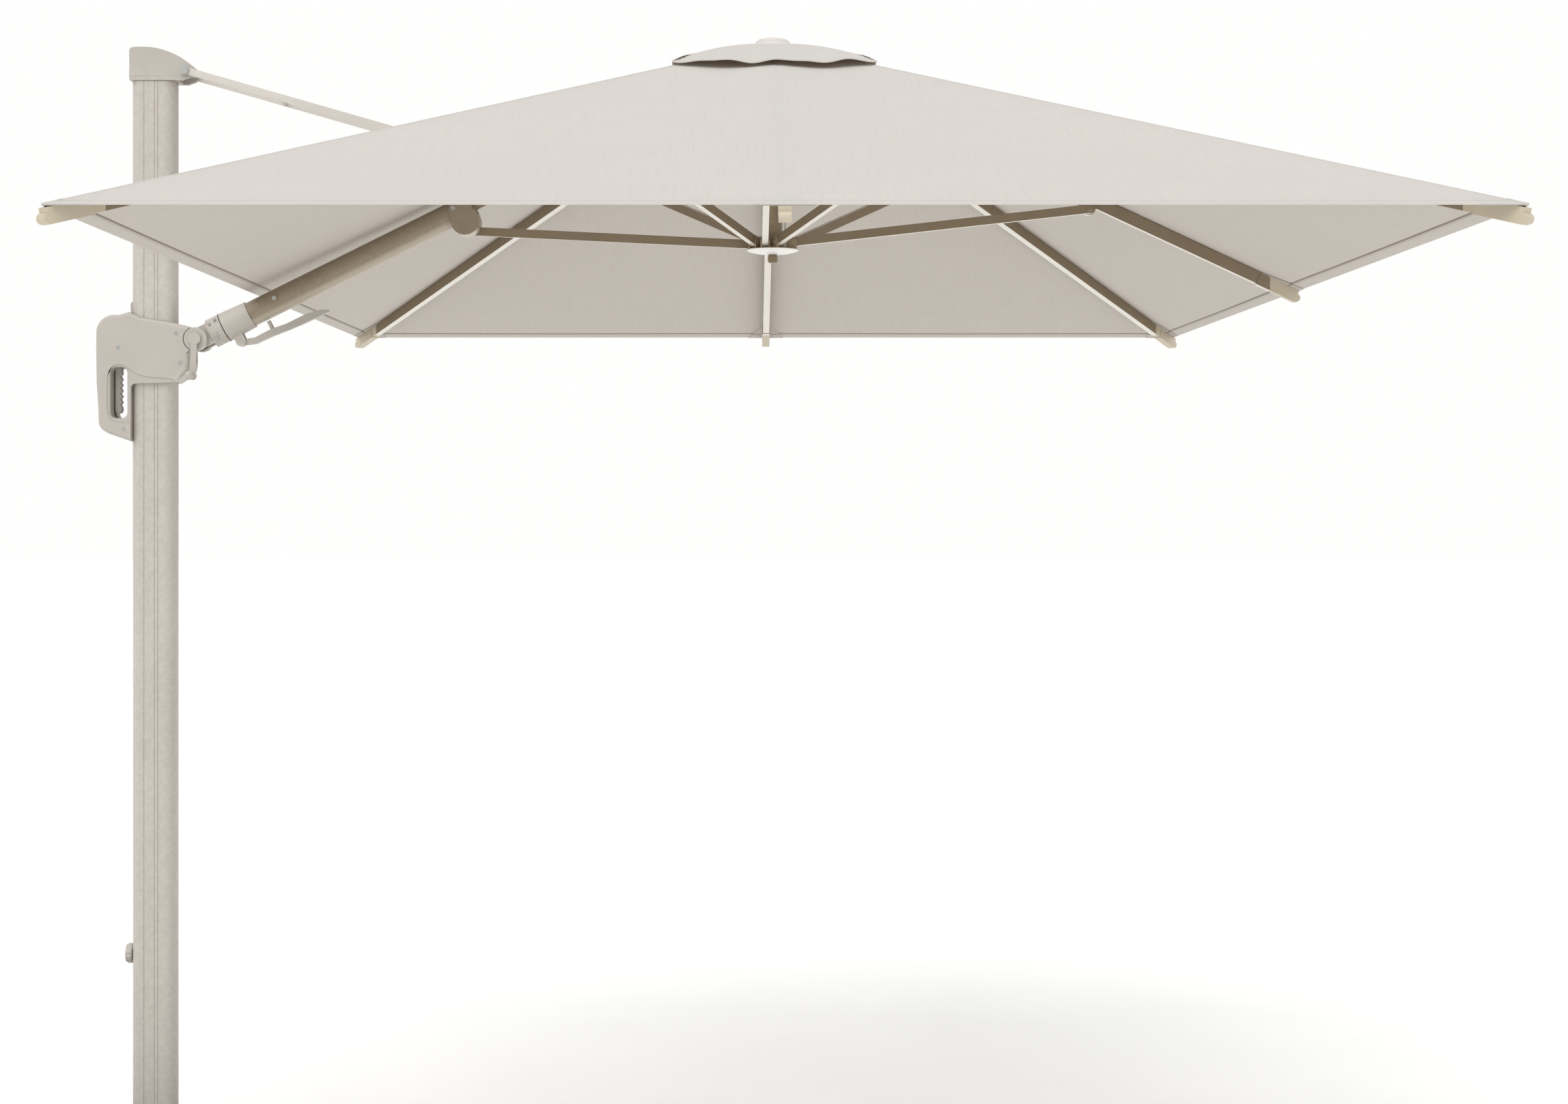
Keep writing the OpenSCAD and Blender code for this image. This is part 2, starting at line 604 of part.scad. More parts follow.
module vent_canopy() color(FABRIC) difference() {
  pyramid(480, 646, 2738, 2834);
  pyramid(479.9, 645.9, 2735, 2831);
  box(canopy_x - 260, canopy_x + 260, -340, 340, 2700, 2737.9);
}
// The rib frame starts at the crown pivot, with X down the slope
module rib(spec) {
  reach = spec[3];
  lift = spec[4];
  slope = atan2(rise, reach);
  length = (reach - crown_r) / cos(slope);
  joint_out = spec[1] - crown_r;
  joint_up = spec[2] - crown_z;
  joint_x = joint_out * cos(slope) - joint_up * sin(slope);
  joint_z = joint_out * sin(slope) + joint_up * cos(slope);
  half = rib_width / 2;
  tip_half = half + 1.5;
  bottom = lift - rib_depth / 2;
  top = lift + rib_depth / 2;
  color(PALE) at_azimuth(spec[0]) translate([crown_r, 0, crown_z]) rotate([0, slope, 0])
    difference() {
      union() {
        rod_y(0, 0, 7.5, -4, 4);
        box(0, 42, -4, 4, -7, 7);
        box(34, length - 60, -half, half, bottom, top);
        box(length - 112, length - 8, -tip_half, tip_half, bottom - 2, top - 0.5);
        rod_y(length - 8, lift - 5.5, 10, -tip_half, tip_half);
        box(joint_x - 30, joint_x + 14, -half, half, joint_z - 2, lift);
        rod_y(joint_x, joint_z, 14, -half, half);
      }
      rod_y(0, 0, pivot_bore_r + fit, -20, 20);
      rod_y(joint_x, joint_z, pivot_bore_r, -20, 20);
    }
}
module rib_right() rib(RIGHT);
module rib_near() rib(NEAR);
module rib_far() rib(FAR);
module rib_near_right() rib(NEAR_RIGHT);
module rib_far_right() rib(FAR_RIGHT);
module rib_near_left() rib(NEAR_LEFT);
module rib_far_left() rib(FAR_LEFT);

// ---------- lower hub and stretchers ----------
disc_top = 2330;
tube_z = disc_top + 0.1;
side_offset = 19;       // sideways offset of a stretcher from its rib plane
left_offset = 35.5;     // the left stretcher is narrower and stands further off
left_width = 8;

module lug(azimuth, offset = side_offset, width = stretcher_width)
  at_azimuth(azimuth) translate([0, -offset, 0]) {
    for (y = [-width / 2 - 3.5, width / 2 + 0.5]) {
      box(runner_r - 12, runner_r + 12, y, y + 3, runner_z - 18, runner_z);
      rod_y(runner_r, runner_z, 12, y, y + 3);
    }
    rod_y(runner_r, runner_z, pivot_bore_r, -width / 2 - 4.5, width / 2 + 4.5);
  }
module runner_hub() color(PALE) {
  translate([canopy_x, 0, 0]) rotate_extrude($fn = 96) polygon([
    [0, 2316], [20, 2316.5], [40, 2319], [disc_radius - 4, 2324], [disc_radius, 2327],
    [disc_radius, 2329], [disc_radius - 3, disc_top], [0, disc_top]]);
  for (azimuth = RIB_AZIMUTHS) lug(azimuth);
  lug(ARM_AZIMUTH, left_offset, left_width);
}
module runner_tube() color(METAL) translate([canopy_x, 0, tube_z]) difference() {
  cylinder(h = 430, r = 24);
  translate([0, 0, 6]) cylinder(h = 450, r = 21);
}
module runner_button() color(BROWN) translate([canopy_x, 0, 0]) rotate_extrude()
  polygon([[0, 2296], [9, 2296], [12, 2299], [12, 2312], [10, 2316], [0, 2315.9]]);
module cord_ball() color(PALE) translate([canopy_x + 31, -33, 0]) {
  translate([0, 0, tube_z]) cylinder(h = 80, r = 2.5);
  translate([0, 0, 2420]) sphere(r = 14);
}
// Takes the first three columns of a rib: azimuth, joint radius and joint z
module stretcher(spec, offset = side_offset, width = stretcher_width, pin_out = 2.5) {
  half = width / 2;
  end_r = stretcher_depth / 2;
  color(PALE) at_azimuth(spec[0]) translate([0, -offset, 0]) difference() {
    union() {
      bar(runner_r, runner_z, spec[1], spec[2], stretcher_depth - 2.6, 0.3 - half, half - 0.3);
      rod_y(runner_r, runner_z, end_r, -half, half);
      rod_y(spec[1], spec[2], end_r, -half, half);
      rod_y(spec[1], spec[2], 6, -half - pin_out, 0);
    }
    rod_y(runner_r, runner_z, pivot_bore_r + fit, -30, 30);
  }
}
module stretcher_left()
  stretcher([ARM_AZIMUTH, canopy_x - 775.6, 2378], left_offset, left_width, pin_out = 1.4);
module stretcher_right() stretcher(RIGHT);
module stretcher_near() stretcher(NEAR);
module stretcher_far() stretcher(FAR);
module stretcher_near_right() stretcher(NEAR_RIGHT);
module stretcher_far_right() stretcher(FAR_RIGHT);
module stretcher_near_left() stretcher(NEAR_LEFT);
module stretcher_far_left() stretcher(FAR_LEFT);

function on(name) = node == "all" || node == name;
if (on("base_cross")) base_cross();
if (on("ballast_tanks")) ballast_tanks();
if (on("tank_caps")) tank_caps();
if (on("rubber_feet")) rubber_feet();
if (on("foot_flange")) foot_flange();
if (on("foot_bush")) foot_bush();
if (on("flange_bolts")) flange_bolts();
if (on("pedal_pin")) pedal_pin();
if (on("swivel_pedal")) swivel_pedal();
if (on("mast_tube")) mast_tube();
if (on("mast_foot")) mast_foot();
if (on("top_cap")) top_cap();
if (on("strut_pin")) strut_pin();
if (on("stop_block")) stop_block();
if (on("mast_knob")) mast_knob();
if (on("strut_bars")) strut_bars();
if (on("shell_front")) shell_front();
if (on("shell_back")) shell_back();
if (on("carriage_core")) carriage_core();
if (on("glide_pads")) glide_pads();
if (on("shell_screws")) shell_screws();
if (on("grip_trigger")) grip_trigger();
if (on("brake_pad")) brake_pad();
if (on("crank_arm")) crank_arm();
if (on("winch_drum")) winch_drum();
if (on("crank_grip")) crank_grip();
if (on("knuckle_housing")) knuckle_housing();
if (on("knuckle_screws")) knuckle_screws();
if (on("roll_bush")) roll_bush();
if (on("arm_socket")) arm_socket();
if (on("arm_tube")) arm_tube();
if (on("arm_end_bracket")) arm_end_bracket();
if (on("arm_rivets")) arm_rivets();
if (on("arm_spine")) arm_spine();
if (on("tilt_lever")) tilt_lever();
if (on("strut_collar")) strut_collar();
if (on("crown_hub")) crown_hub();
if (on("crown_pins")) crown_pins();
if (on("finial")) finial();
if (on("vent_canopy")) vent_canopy();
if (on("canopy_fabric")) canopy_fabric();
if (on("rib_right")) rib_right();
if (on("rib_near")) rib_near();
if (on("rib_far")) rib_far();
if (on("rib_near_right")) rib_near_right();
if (on("rib_far_right")) rib_far_right();
if (on("rib_near_left")) rib_near_left();
if (on("rib_far_left")) rib_far_left();
if (on("runner_hub")) runner_hub();
if (on("runner_tube")) runner_tube();
if (on("runner_button")) runner_button();
if (on("cord_ball")) cord_ball();
if (on("stretcher_left")) stretcher_left();
if (on("stretcher_right")) stretcher_right();
if (on("stretcher_near")) stretcher_near();
if (on("stretcher_far")) stretcher_far();
if (on("stretcher_near_right")) stretcher_near_right();
if (on("stretcher_far_right")) stretcher_far_right();
if (on("stretcher_near_left")) stretcher_near_left();
if (on("stretcher_far_left")) stretcher_far_left();
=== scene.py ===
"""A cantilever parasol: a base, a mast with a sliding carriage, an arm and an eight-ribbed canopy.

Metres, +Z up, the floor at z = 0. The canopy is centred on y = 0, "near" is -y and "left" is -x.
The CAD pieces get materials and softened edges. The cloth is built here in place of the CAD cloth.
"""
import json
import math
from collections import namedtuple

import bmesh
import bpy
import numpy as np
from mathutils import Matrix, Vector


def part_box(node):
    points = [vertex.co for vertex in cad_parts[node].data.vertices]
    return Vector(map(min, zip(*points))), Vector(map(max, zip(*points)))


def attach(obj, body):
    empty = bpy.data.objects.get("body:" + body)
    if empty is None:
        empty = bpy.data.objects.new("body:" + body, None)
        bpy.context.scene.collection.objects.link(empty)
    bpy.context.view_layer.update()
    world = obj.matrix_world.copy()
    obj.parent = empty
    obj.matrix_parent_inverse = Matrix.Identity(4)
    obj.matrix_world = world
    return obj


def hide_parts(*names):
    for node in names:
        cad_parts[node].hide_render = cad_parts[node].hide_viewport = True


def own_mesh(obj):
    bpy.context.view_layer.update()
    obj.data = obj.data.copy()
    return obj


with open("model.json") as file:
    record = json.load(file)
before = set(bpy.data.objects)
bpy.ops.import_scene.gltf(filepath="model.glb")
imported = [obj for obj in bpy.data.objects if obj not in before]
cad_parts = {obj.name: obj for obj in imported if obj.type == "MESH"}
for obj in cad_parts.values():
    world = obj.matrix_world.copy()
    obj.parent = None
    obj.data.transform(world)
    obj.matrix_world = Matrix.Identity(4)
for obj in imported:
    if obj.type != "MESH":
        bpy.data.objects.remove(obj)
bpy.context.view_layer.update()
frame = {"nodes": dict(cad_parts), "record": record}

nodes = frame["nodes"]

# ------------------------------------------------------------------ canopy sizes
CANOPY_LO, CANOPY_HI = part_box("canopy_fabric")
VENT_LO, VENT_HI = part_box("vent_canopy")
CENTRE_X = (CANOPY_LO.x + CANOPY_HI.x) / 2
HALF_X = (CANOPY_HI.x - CANOPY_LO.x) / 2
HALF_Y = (CANOPY_HI.y - CANOPY_LO.y) / 2
VENT_HALF_X = (VENT_HI.x - VENT_LO.x) / 2
VENT_HALF_Y = (VENT_HI.y - VENT_LO.y) / 2


# ------------------------------------------------------------------ material tools
def srgb(r, g, b):
    """A linear RGBA colour from 8-bit sRGB."""
    channels = (c / 255 for c in (r, g, b))
    return tuple(c / 12.92 if c <= 0.04045 else ((c + 0.055) / 1.055) ** 2.4
                 for c in channels) + (1.0,)


def scaled(colour, factor, lift=0.0):
    return tuple(min(1, c * factor + lift) for c in colour[:3]) + (1.0,)


def feed(tree, socket, value):
    """Link a socket into another, or set its value."""
    if isinstance(value, bpy.types.NodeSocket):
        tree.links.new(value, socket)
    else:
        socket.default_value = value


class Material:
    """A node material with short helpers; each helper returns an output socket."""

    def __init__(self, name):
        self.material = bpy.data.materials.new(name)
        self.material.use_nodes = True
        self.tree = self.material.node_tree
        self.shader = self.tree.nodes["Principled BSDF"]
        self.output = self.tree.nodes["Material Output"]

    def node(self, kind, **settings):
        node = self.tree.nodes.new("ShaderNode" + kind)
        for key, value in settings.items():
            setattr(node, key, value)
        return node

    def link(self, source, target):
        self.tree.links.new(source, target)

    def set(self, **values):
        """Principled inputs by name, with _ for each space."""
        for key, value in values.items():
            feed(self.tree, self.shader.inputs[key.replace("_", " ")], value)

    def coords(self, kind="Object", scale=(1, 1, 1)):
        source = self.node("TexCoord")
        mapping = self.node("Mapping")
        mapping.inputs["Scale"].default_value = scale
        self.link(source.outputs[kind], mapping.inputs["Vector"])
        return mapping.outputs["Vector"]

    def split(self, vector):
        parts = self.node("SeparateXYZ")
        self.link(vector, parts.inputs[0])
        return parts.outputs

    def noise(self, vector, scale, detail=3.0, rough=0.5):
        noise = self.node("TexNoise")
        noise.inputs["Scale"].default_value = scale
        noise.inputs["Detail"].default_value = detail
        noise.inputs["Roughness"].default_value = rough
        self.link(vector, noise.inputs["Vector"])
        return noise.outputs["Fac"]

    def remap(self, value, start, end, low=0.0, high=1.0):
        remap = self.node("MapRange")
        remap.inputs["From Min"].default_value = start
        remap.inputs["From Max"].default_value = end
        remap.inputs["To Min"].default_value = low
        remap.inputs["To Max"].default_value = high
        self.link(value, remap.inputs["Value"])
        return remap.outputs["Result"]

    def mix(self, factor, first, second):
        mix = self.node("Mix", data_type="RGBA")
        # inputs 0, 6 and 7 are the factor and the two colours
        for index, value in ((0, factor), (6, first), (7, second)):
            feed(self.tree, mix.inputs[index], value)
        return mix.outputs[2]

    def calc(self, operation, *values):
        node = self.node("Math", operation=operation)
        for index, value in enumerate(values):
            feed(self.tree, node.inputs[index], value)
        return node.outputs[0]

    def wave(self, value, pitch):
        return self.calc("SINE", self.calc("MULTIPLY", value, math.tau / pitch))

    def bump(self, height, strength, distance):
        bump = self.node("Bump")
        bump.inputs["Strength"].default_value = strength
        bump.inputs["Distance"].default_value = distance
        self.link(height, bump.inputs["Height"])
        self.set(Normal=bump.outputs["Normal"])


# ------------------------------------------------------------------ materials
def coat(name, colour, rough, grain, depth, spec=0.5, tint=0.94):
    """Powder coat or plastic: fine grain, faint mottling and lighter worn edges.

    grain and depth are the scale and strength of the bump; tint darkens the mottling.
    """
    m = Material(name)
    place = m.coords()
    mottle = m.noise(place, scale=6.0, detail=4.0)
    fine = m.noise(place, scale=grain, detail=2.0)
    mottled = m.mix(m.remap(mottle, start=0.35, end=0.65), scaled(colour, tint), colour)
    geometry = m.node("NewGeometry")
    edge = m.remap(geometry.outputs["Pointiness"], start=0.53, end=0.60, high=0.4)
    patchy = m.remap(m.noise(place, scale=90.0, detail=4.0), start=0.4, end=0.62)
    wear = m.calc("MULTIPLY", edge, patchy)
    m.set(Base_Color=m.mix(wear, mottled, scaled(colour, 1.14, lift=0.015)))
    m.set(Roughness=m.remap(m.noise(place, scale=40.0), start=0.3, end=0.7,
                            low=rough - 0.06, high=rough + 0.07))
    m.set(Specular_IOR_Level=spec)
    m.bump(fine, strength=depth, distance=0.0003)
    return m


def coat_with_painted_light(name, side, bottom, tip=None, **coat_settings):
    """A coat with painted light and shade by facing: the side colour is painted shade on the faces
    that look sideways, and the faces that look down take the bottom colour as painted light from
    the bright floor below.

    With a tip colour, the outer ends of the ribs take it, and the faces that look up are painted
    pale as painted light.
    """
    m = coat(name, side, **coat_settings)
    shaded_side_colour = m.shader.inputs["Base Color"].links[0].from_socket
    source = m.node("TexCoord")
    normal_z = m.split(source.outputs["Normal"])[2]
    # painted shade on the sides, painted light on the faces that look down
    colour = m.mix(m.remap(normal_z, start=-0.40, end=-0.66), shaded_side_colour, bottom)
    if tip:
        place = m.split(source.outputs["Object"])
        offset = m.calc("ABSOLUTE", m.calc("SUBTRACT", place[0], CENTRE_X))
        share_x = m.calc("DIVIDE", offset, HALF_X)
        share_y = m.calc("DIVIDE", m.calc("ABSOLUTE", place[1]), HALF_Y)
        tip_from = 0.943        # share of the way from the canopy's centre to its hem
        at_tip = m.calc("GREATER_THAN", m.calc("MAXIMUM", share_x, share_y), tip_from)
        # painted light: faces that look up are painted pale
        lit_top_mask = m.calc("GREATER_THAN", normal_z, 0.6)
        colour = m.mix(lit_top_mask, colour, srgb(205, 200, 192))
        colour = m.mix(at_tip, colour, tip)
    m.set(Base_Color=colour)
    return m


def plated_steel(name):
    m = Material(name)
    place = m.coords(scale=(1, 1, 12))
    m.set(Base_Color=m.mix(m.remap(m.noise(place, scale=60), start=0.3, end=0.7),
                           srgb(170, 170, 168), srgb(205, 205, 203)))
    m.set(Metallic=1.0)
    m.set(Roughness=m.remap(m.noise(place, scale=200), start=0.3, end=0.7, low=0.22, high=0.42))
    m.bump(m.noise(place, scale=700, detail=2), strength=0.15, distance=0.0002)
    return m


def woven_cloth(name, colour):
    """Woven canopy cloth. U runs along the hem and V up from the hem, both in metres."""
    warp_pitch, weft_pitch, stitch_pitch = 0.0016, 0.0014, 0.0052
    stitch_half_width, halo_width = 0.0011, 0.004
    hem_shadow_v, hem_shadow_half_width = 0.0318, 0.0026    # painted shadow line of the hem's fold, seen from below, above the hem

    m = Material(name)
    u, v, _ = m.split(m.coords("UV"))
    warp = m.wave(u, warp_pitch)
    weft = m.wave(v, weft_pitch)
    weave = m.calc("MULTIPLY", m.calc("MULTIPLY", warp, weft), 0.5)
    slub_along = m.noise(m.coords("UV", scale=(5, 320, 1)), scale=1.0, rough=0.6)
    slub_across = m.noise(m.coords("UV", scale=(320, 5, 1)), scale=1.0, rough=0.6)
    slub = m.calc("MULTIPLY", m.calc("ADD", slub_along, slub_across), 0.5)
    mottle = m.noise(m.coords("UV", scale=(1.6, 2.2, 1)), scale=1.0, detail=4.0)

    tone = m.mix(m.remap(slub, start=0.34, end=0.66), scaled(colour, 0.90), scaled(colour, 1.05))
    tone = m.mix(m.remap(mottle, start=0.35, end=0.65, high=0.35), tone, scaled(colour, 0.93))
    tone = m.mix(m.remap(weave, start=-0.5, end=0.5, high=0.5), tone, scaled(colour, 0.8))

    # dashed stitches with a soft shadow; "seam" is the distance to the nearest stitch line
    attribute = m.node("Attribute", attribute_name="seam", attribute_type="GEOMETRY")
    seam = attribute.outputs["Fac"]
    line = m.calc("LESS_THAN", seam, stitch_half_width)
    dash = m.calc("GREATER_THAN", m.wave(m.calc("ADD", u, v), stitch_pitch), -0.35)
    stitch = m.calc("MULTIPLY", line, dash)
    tone = m.mix(m.calc("MULTIPLY", stitch, 0.75), tone, scaled(colour, 0.45))
    halo = m.remap(seam, start=0.0, end=halo_width, low=0.14, high=0.0)
    tone = m.mix(halo, tone, scaled(colour, 0.6))

    # painted shade and warm light on the underside: it is painted darker and warmer, as shaded
    # cloth with light coming through, and a painted shadow line runs under the hem's fold
    source = m.node("TexCoord")
    normal_z = m.split(source.outputs["Normal"])[2]
    under = m.calc("LESS_THAN", normal_z, -0.2)
    # painted shade: the underside is tinted darker and warmer
    tone = m.mix(m.calc("MULTIPLY", under, 0.18), tone, srgb(172, 158, 138))
    from_hem_shadow = m.calc("ABSOLUTE", m.calc("SUBTRACT", v, hem_shadow_v))
    fold = m.calc("LESS_THAN", from_hem_shadow, hem_shadow_half_width)
    # painted shadow: a dark line only on the underside, where the hem's fold shades the cloth
    hem_shadow_under = m.calc("MULTIPLY", m.calc("MULTIPLY", under, fold), 0.72)
    tone = m.mix(hem_shadow_under, tone, srgb(96, 84, 68))
    m.set(Base_Color=tone, Roughness=0.86, Specular_IOR_Level=0.25,
          Sheen_Weight=0.18, Sheen_Roughness=0.5)
    height = m.calc("ADD", m.calc("MULTIPLY", weave, 0.6), m.calc("MULTIPLY", slub, 1.2))
    m.bump(height, strength=0.35, distance=0.0004)

    # some light comes through the cloth, warmed
    translucent = m.node("BsdfTranslucent")
    m.link(m.mix(0.55, tone, srgb(214, 186, 146)), translucent.inputs["Color"])
    blend = m.node("MixShader")
    blend.inputs[0].default_value = 0.21
    m.link(m.shader.outputs[0], blend.inputs[1])
    m.link(translucent.outputs[0], blend.inputs[2])
    m.link(blend.outputs[0], m.output.inputs["Surface"])
    return m


# keyed by material slot, with a few more for the pieces in SPECIAL
MATERIALS = {
    "fabric": woven_cloth("fabric_canopy", srgb(218, 214, 209)),
    "shell_plastic": coat("shell_plastic", srgb(181, 175, 167), rough=0.42, grain=1300, depth=0.3),
    "mast_metal": coat("mast_coat", srgb(186, 180, 172), rough=0.38, grain=1800, depth=0.22),
    # arm, frame and hub: the first colour is painted shade on the sides, the second is painted
    # light on the faces that look down
    "arm": coat_with_painted_light("arm_coat", srgb(141, 127, 107), srgb(176, 166, 150),
                    rough=0.36, grain=1800, depth=0.22),
    "frame_metal": coat_with_painted_light("frame_coat", srgb(131, 115, 92), srgb(226, 221, 212),
                            tip=srgb(192, 181, 160), rough=0.4, grain=1800, depth=0.2),
    "pole": coat("pole_coat", srgb(204, 199, 191), rough=0.36, grain=1800, depth=0.2),
    "hub_painted_shade": coat_with_painted_light("hub_painted_shade", srgb(150, 135, 112), srgb(232, 230, 226),
                             rough=0.35, grain=1400, depth=0.2),
    "hub_plastic": coat("hub_plastic", srgb(228, 226, 221), rough=0.35, grain=1400, depth=0.2),
    "cap": coat("finial_plastic", srgb(205, 200, 194), rough=0.5, grain=1200, depth=0.3),
    "dark_plastic": coat("dark_plastic", srgb(62, 61, 60), rough=0.55, grain=700, depth=0.5,
                         tint=0.85),
    "dark_metal": coat("dark_coat", srgb(70, 69, 68), rough=0.48, grain=1500, depth=0.3,
                       tint=0.85),
    "bronze_plastic": coat("bronze_plastic", srgb(124, 108, 86), rough=0.45, grain=1200,
                           depth=0.25),
    "rubber": coat("rubber", srgb(38, 38, 38), rough=0.8, grain=500, depth=0.6, tint=0.8, spec=0.3),
    "steel": plated_steel("plated_steel"),
}
SPECIAL = {
    "arm_tube": "arm", "arm_end_bracket": "arm", "arm_spine": "arm", "finial": "cap",
    "tilt_lever": "shell_plastic", "runner_tube": "hub_painted_shade", "runner_hub": "hub_painted_shade",
    "cord_ball": "cap", "strut_bars": "pole",
}
slot_of = {part["node"]: part["material_slot"] for part in frame["record"]["subparts"]}
for name, piece in nodes.items():
    key = SPECIAL.get(name) or slot_of.get(name, "")
    piece.data.materials.clear()
    piece.data.materials.append(MATERIALS.get(key, MATERIALS["shell_plastic"]).material)

# ------------------------------------------------------------------ softened edges
# bevel width of each moulded part
SOFT = {
    "top_cap": 0.0045, "tilt_lever": 0.0035, "arm_end_bracket": 0.003, "crank_arm": 0.002,
    "stop_block": 0.002, "mast_knob": 0.002, "ballast_tanks": 0.008, "base_cross": 0.002,
    "foot_flange": 0.002, "knuckle_housing": 0.002, "swivel_pedal": 0.002, "grip_trigger": 0.002,
}
RIB_SOFT = 0.0026
SOFT.update((name, RIB_SOFT) for name in nodes if name.startswith(("rib_", "stretcher_")))


def soften(piece, width, group=None, segments=3):
    bevel = piece.modifiers.new("soft", "BEVEL")
    bevel.width = width
    bevel.segments = segments
    bevel.miter_outer = "MITER_ARC"
    if group:
        bevel.limit_method = "VGROUP"
        bevel.vertex_group = group
        bevel.use_clamp_overlap = False
        bevel.loop_slide = False
    else:
        bevel.limit_method = "ANGLE"
        bevel.angle_limit = math.radians(42)
        bevel.use_clamp_overlap = True


def prepare(piece):
    """Merge doubled vertices and flat faces, so that the bevels run clean."""
    weld = piece.modifiers.new("weld", "WELD")
    weld.merge_threshold = 0.00002
    flat = piece.modifiers.new("flat", "DECIMATE")
    flat.decimate_type = "DISSOLVE"
    flat.angle_limit = math.radians(0.6)


def finish_normals(piece):
    normals = piece.modifiers.new("normals", "WEIGHTED_NORMAL")
    normals.keep_sharp = True
    normals.weight = 90


for name, width in SOFT.items():
    prepare(nodes[name])
    soften(nodes[name], width)
    finish_normals(nodes[name])

# Carriage shells, as places in x and z and distances |y| from the middle plane
INNER_Y = 0.0476                # vertices closer in than this stay sharp
FLOOR_Y = (0.0476, 0.0484)      # a recessed level; rim vertices over its outline stay sharp
RIM_Y = 0.0499                  # the rim lies no closer in than this
GRIP_CENTRE, GRIP_REACH = (-0.0795, 1.9735), (0.0208, 0.0628)
SCREWS, SCREW_RADIUS = [(-0.080, 2.084), (0.062, 2.1184), (0.072, 2.0459), (-0.066, 1.884)], 0.0068
RING_CENTRE, RING_RADIUS, RING_SLACK = (0.1079, 2.1057), 0.030, 0.0007
SHARP_X, SHARP_Z = -0.052, (1.86, 2.004)    # beyond this x, between these heights


def shell_edges(points):
    """Vertex numbers of a shell's outline and of its grip opening."""
    floor = {(round(p.x, 4), round(p.z, 4)) for p in points if FLOOR_Y[0] < abs(p.y) < FLOOR_Y[1]}
    rim, grip = [], []
    for i, p in enumerate(points):
        if abs(p.y) < INNER_Y:
            continue
        if (abs(p.x - GRIP_CENTRE[0]) < GRIP_REACH[0]
                and abs(p.z - GRIP_CENTRE[1]) < GRIP_REACH[1]):
            grip.append(i)
            continue
        at_screw = any(math.hypot(p.x - x, p.z - z) < SCREW_RADIUS for x, z in SCREWS)
        from_ring = math.hypot(p.x - RING_CENTRE[0], p.z - RING_CENTRE[1]) - RING_RADIUS
        if not (abs(p.y) < RIM_Y or (round(p.x, 4), round(p.z, 4)) in floor
                or at_screw or abs(from_ring) < RING_SLACK
                or (p.x > SHARP_X and SHARP_Z[0] < p.z < SHARP_Z[1])):
            rim.append(i)
    return rim, grip


for name in ("shell_front", "shell_back"):
    shell = nodes[name]
    rim, grip = shell_edges([vertex.co for vertex in shell.data.vertices])
    shell.vertex_groups.new(name="rim").add(rim, 1.0, "REPLACE")
    shell.vertex_groups.new(name="slot").add(grip, 1.0, "REPLACE")
    prepare(shell)
    soften(shell, 0.009, "rim", segments=5)
    soften(shell, 0.004, "slot", segments=3)
    finish_normals(shell)

# ------------------------------------------------------------------ canopy
# A place on the cloth is given by its share m of the way from the apex (0) to the hem (1).
OPENING = 0.100                 # m at the edge of the opening under the vent
RIM_Z = CANOPY_LO.z
RISE = (CANOPY_HI.z - RIM_Z) / (1 - OPENING)
APEX_Z = RIM_Z + RISE
SAG = 0.013                     # depth of the sag midway between two ribs
CLOTH = 0.0012                  # thickness
DROP = 0.0012                   # middle of the cloth below the canopy surface
HEM = 0.030
HEM_EXTRA = 0.0011              # added thickness in the hems
HEM_STITCH = HEM - 0.004
OPENING_HEM = 0.108             # m where the hem of the opening ends
SEAM_EXTRA = 0.0009             # added thickness on each corner rib's seam
SEAM_REACH = 0.0078
SEAM_STITCH = 0.006
RIB_COLUMNS = [0, 0.004, 0.0075, 0.009]     # distances from the rib
PANEL_COLUMNS = 22              # from there to midway to the next rib

# opening in the left panel for the strut: its two ends as m, its half width and hem
SLIT = ((CENTRE_X - 0.925) / HALF_X, (CENTRE_X - 0.790) / HALF_X)
SLIT_HEM = 0.006
SLIT_COLUMNS = [0.070, 0.078]
SLIT_SLACK = 0.0001

# the way from the canopy's centre to each rib's end, in half widths in x and y
RIB_SIGNS = {
    "right": (1, 0), "near_right": (1, -1), "near": (0, -1), "near_left": (-1, -1),
    "left": (-1, 0), "far_left": (-1, 1), "far": (0, 1), "far_right": (1, 1),
}
ORDER = list(RIB_SIGNS)
BODY = {rib: "rib_" + rib for rib in ORDER}
BODY["left"] = "arm"

Point = namedtuple("Point", "x y z up down u v seam")   # up, down: thickness over and under z


def is_corner(rib):
    return "_" in rib


def rib_end(rib, half_x=HALF_X, half_y=HALF_Y):
    sign_x, sign_y = RIB_SIGNS[rib]
    return np.array((sign_x * half_x, sign_y * half_y))


def neighbours(rib, side=""):
    """The ribs next to this one: both, or only the one that side _a or _b names."""
    i = ORDER.index(rib)
    pairs = ((ORDER[(i + 1) % 8], "_a"), (ORDER[i - 1], "_b"))
    return [name for name, tag in pairs if side in ("", tag)]


def half_panel(rib, other, half_x=HALF_X, half_y=HALF_Y):
    """The rib's end, the hem's point midway to the other rib, and whether the hem runs along x."""
    end = rib_end(rib, half_x, half_y)
    middle = (end + rib_end(other, half_x, half_y)) / 2
    return end, middle, abs(middle[1]) > half_y - 1e-6


def surface(x, y, t):
    """Height at (x, y) from the axis. t is 0 on a rib and 1 midway between two ribs."""
    m = max(abs(x) / HALF_X, abs(y) / HALF_Y)
    return APEX_Z - RISE * m - SAG * (math.sin(t * math.pi / 2) ** 1.5) * 4 * m * (1 - m)


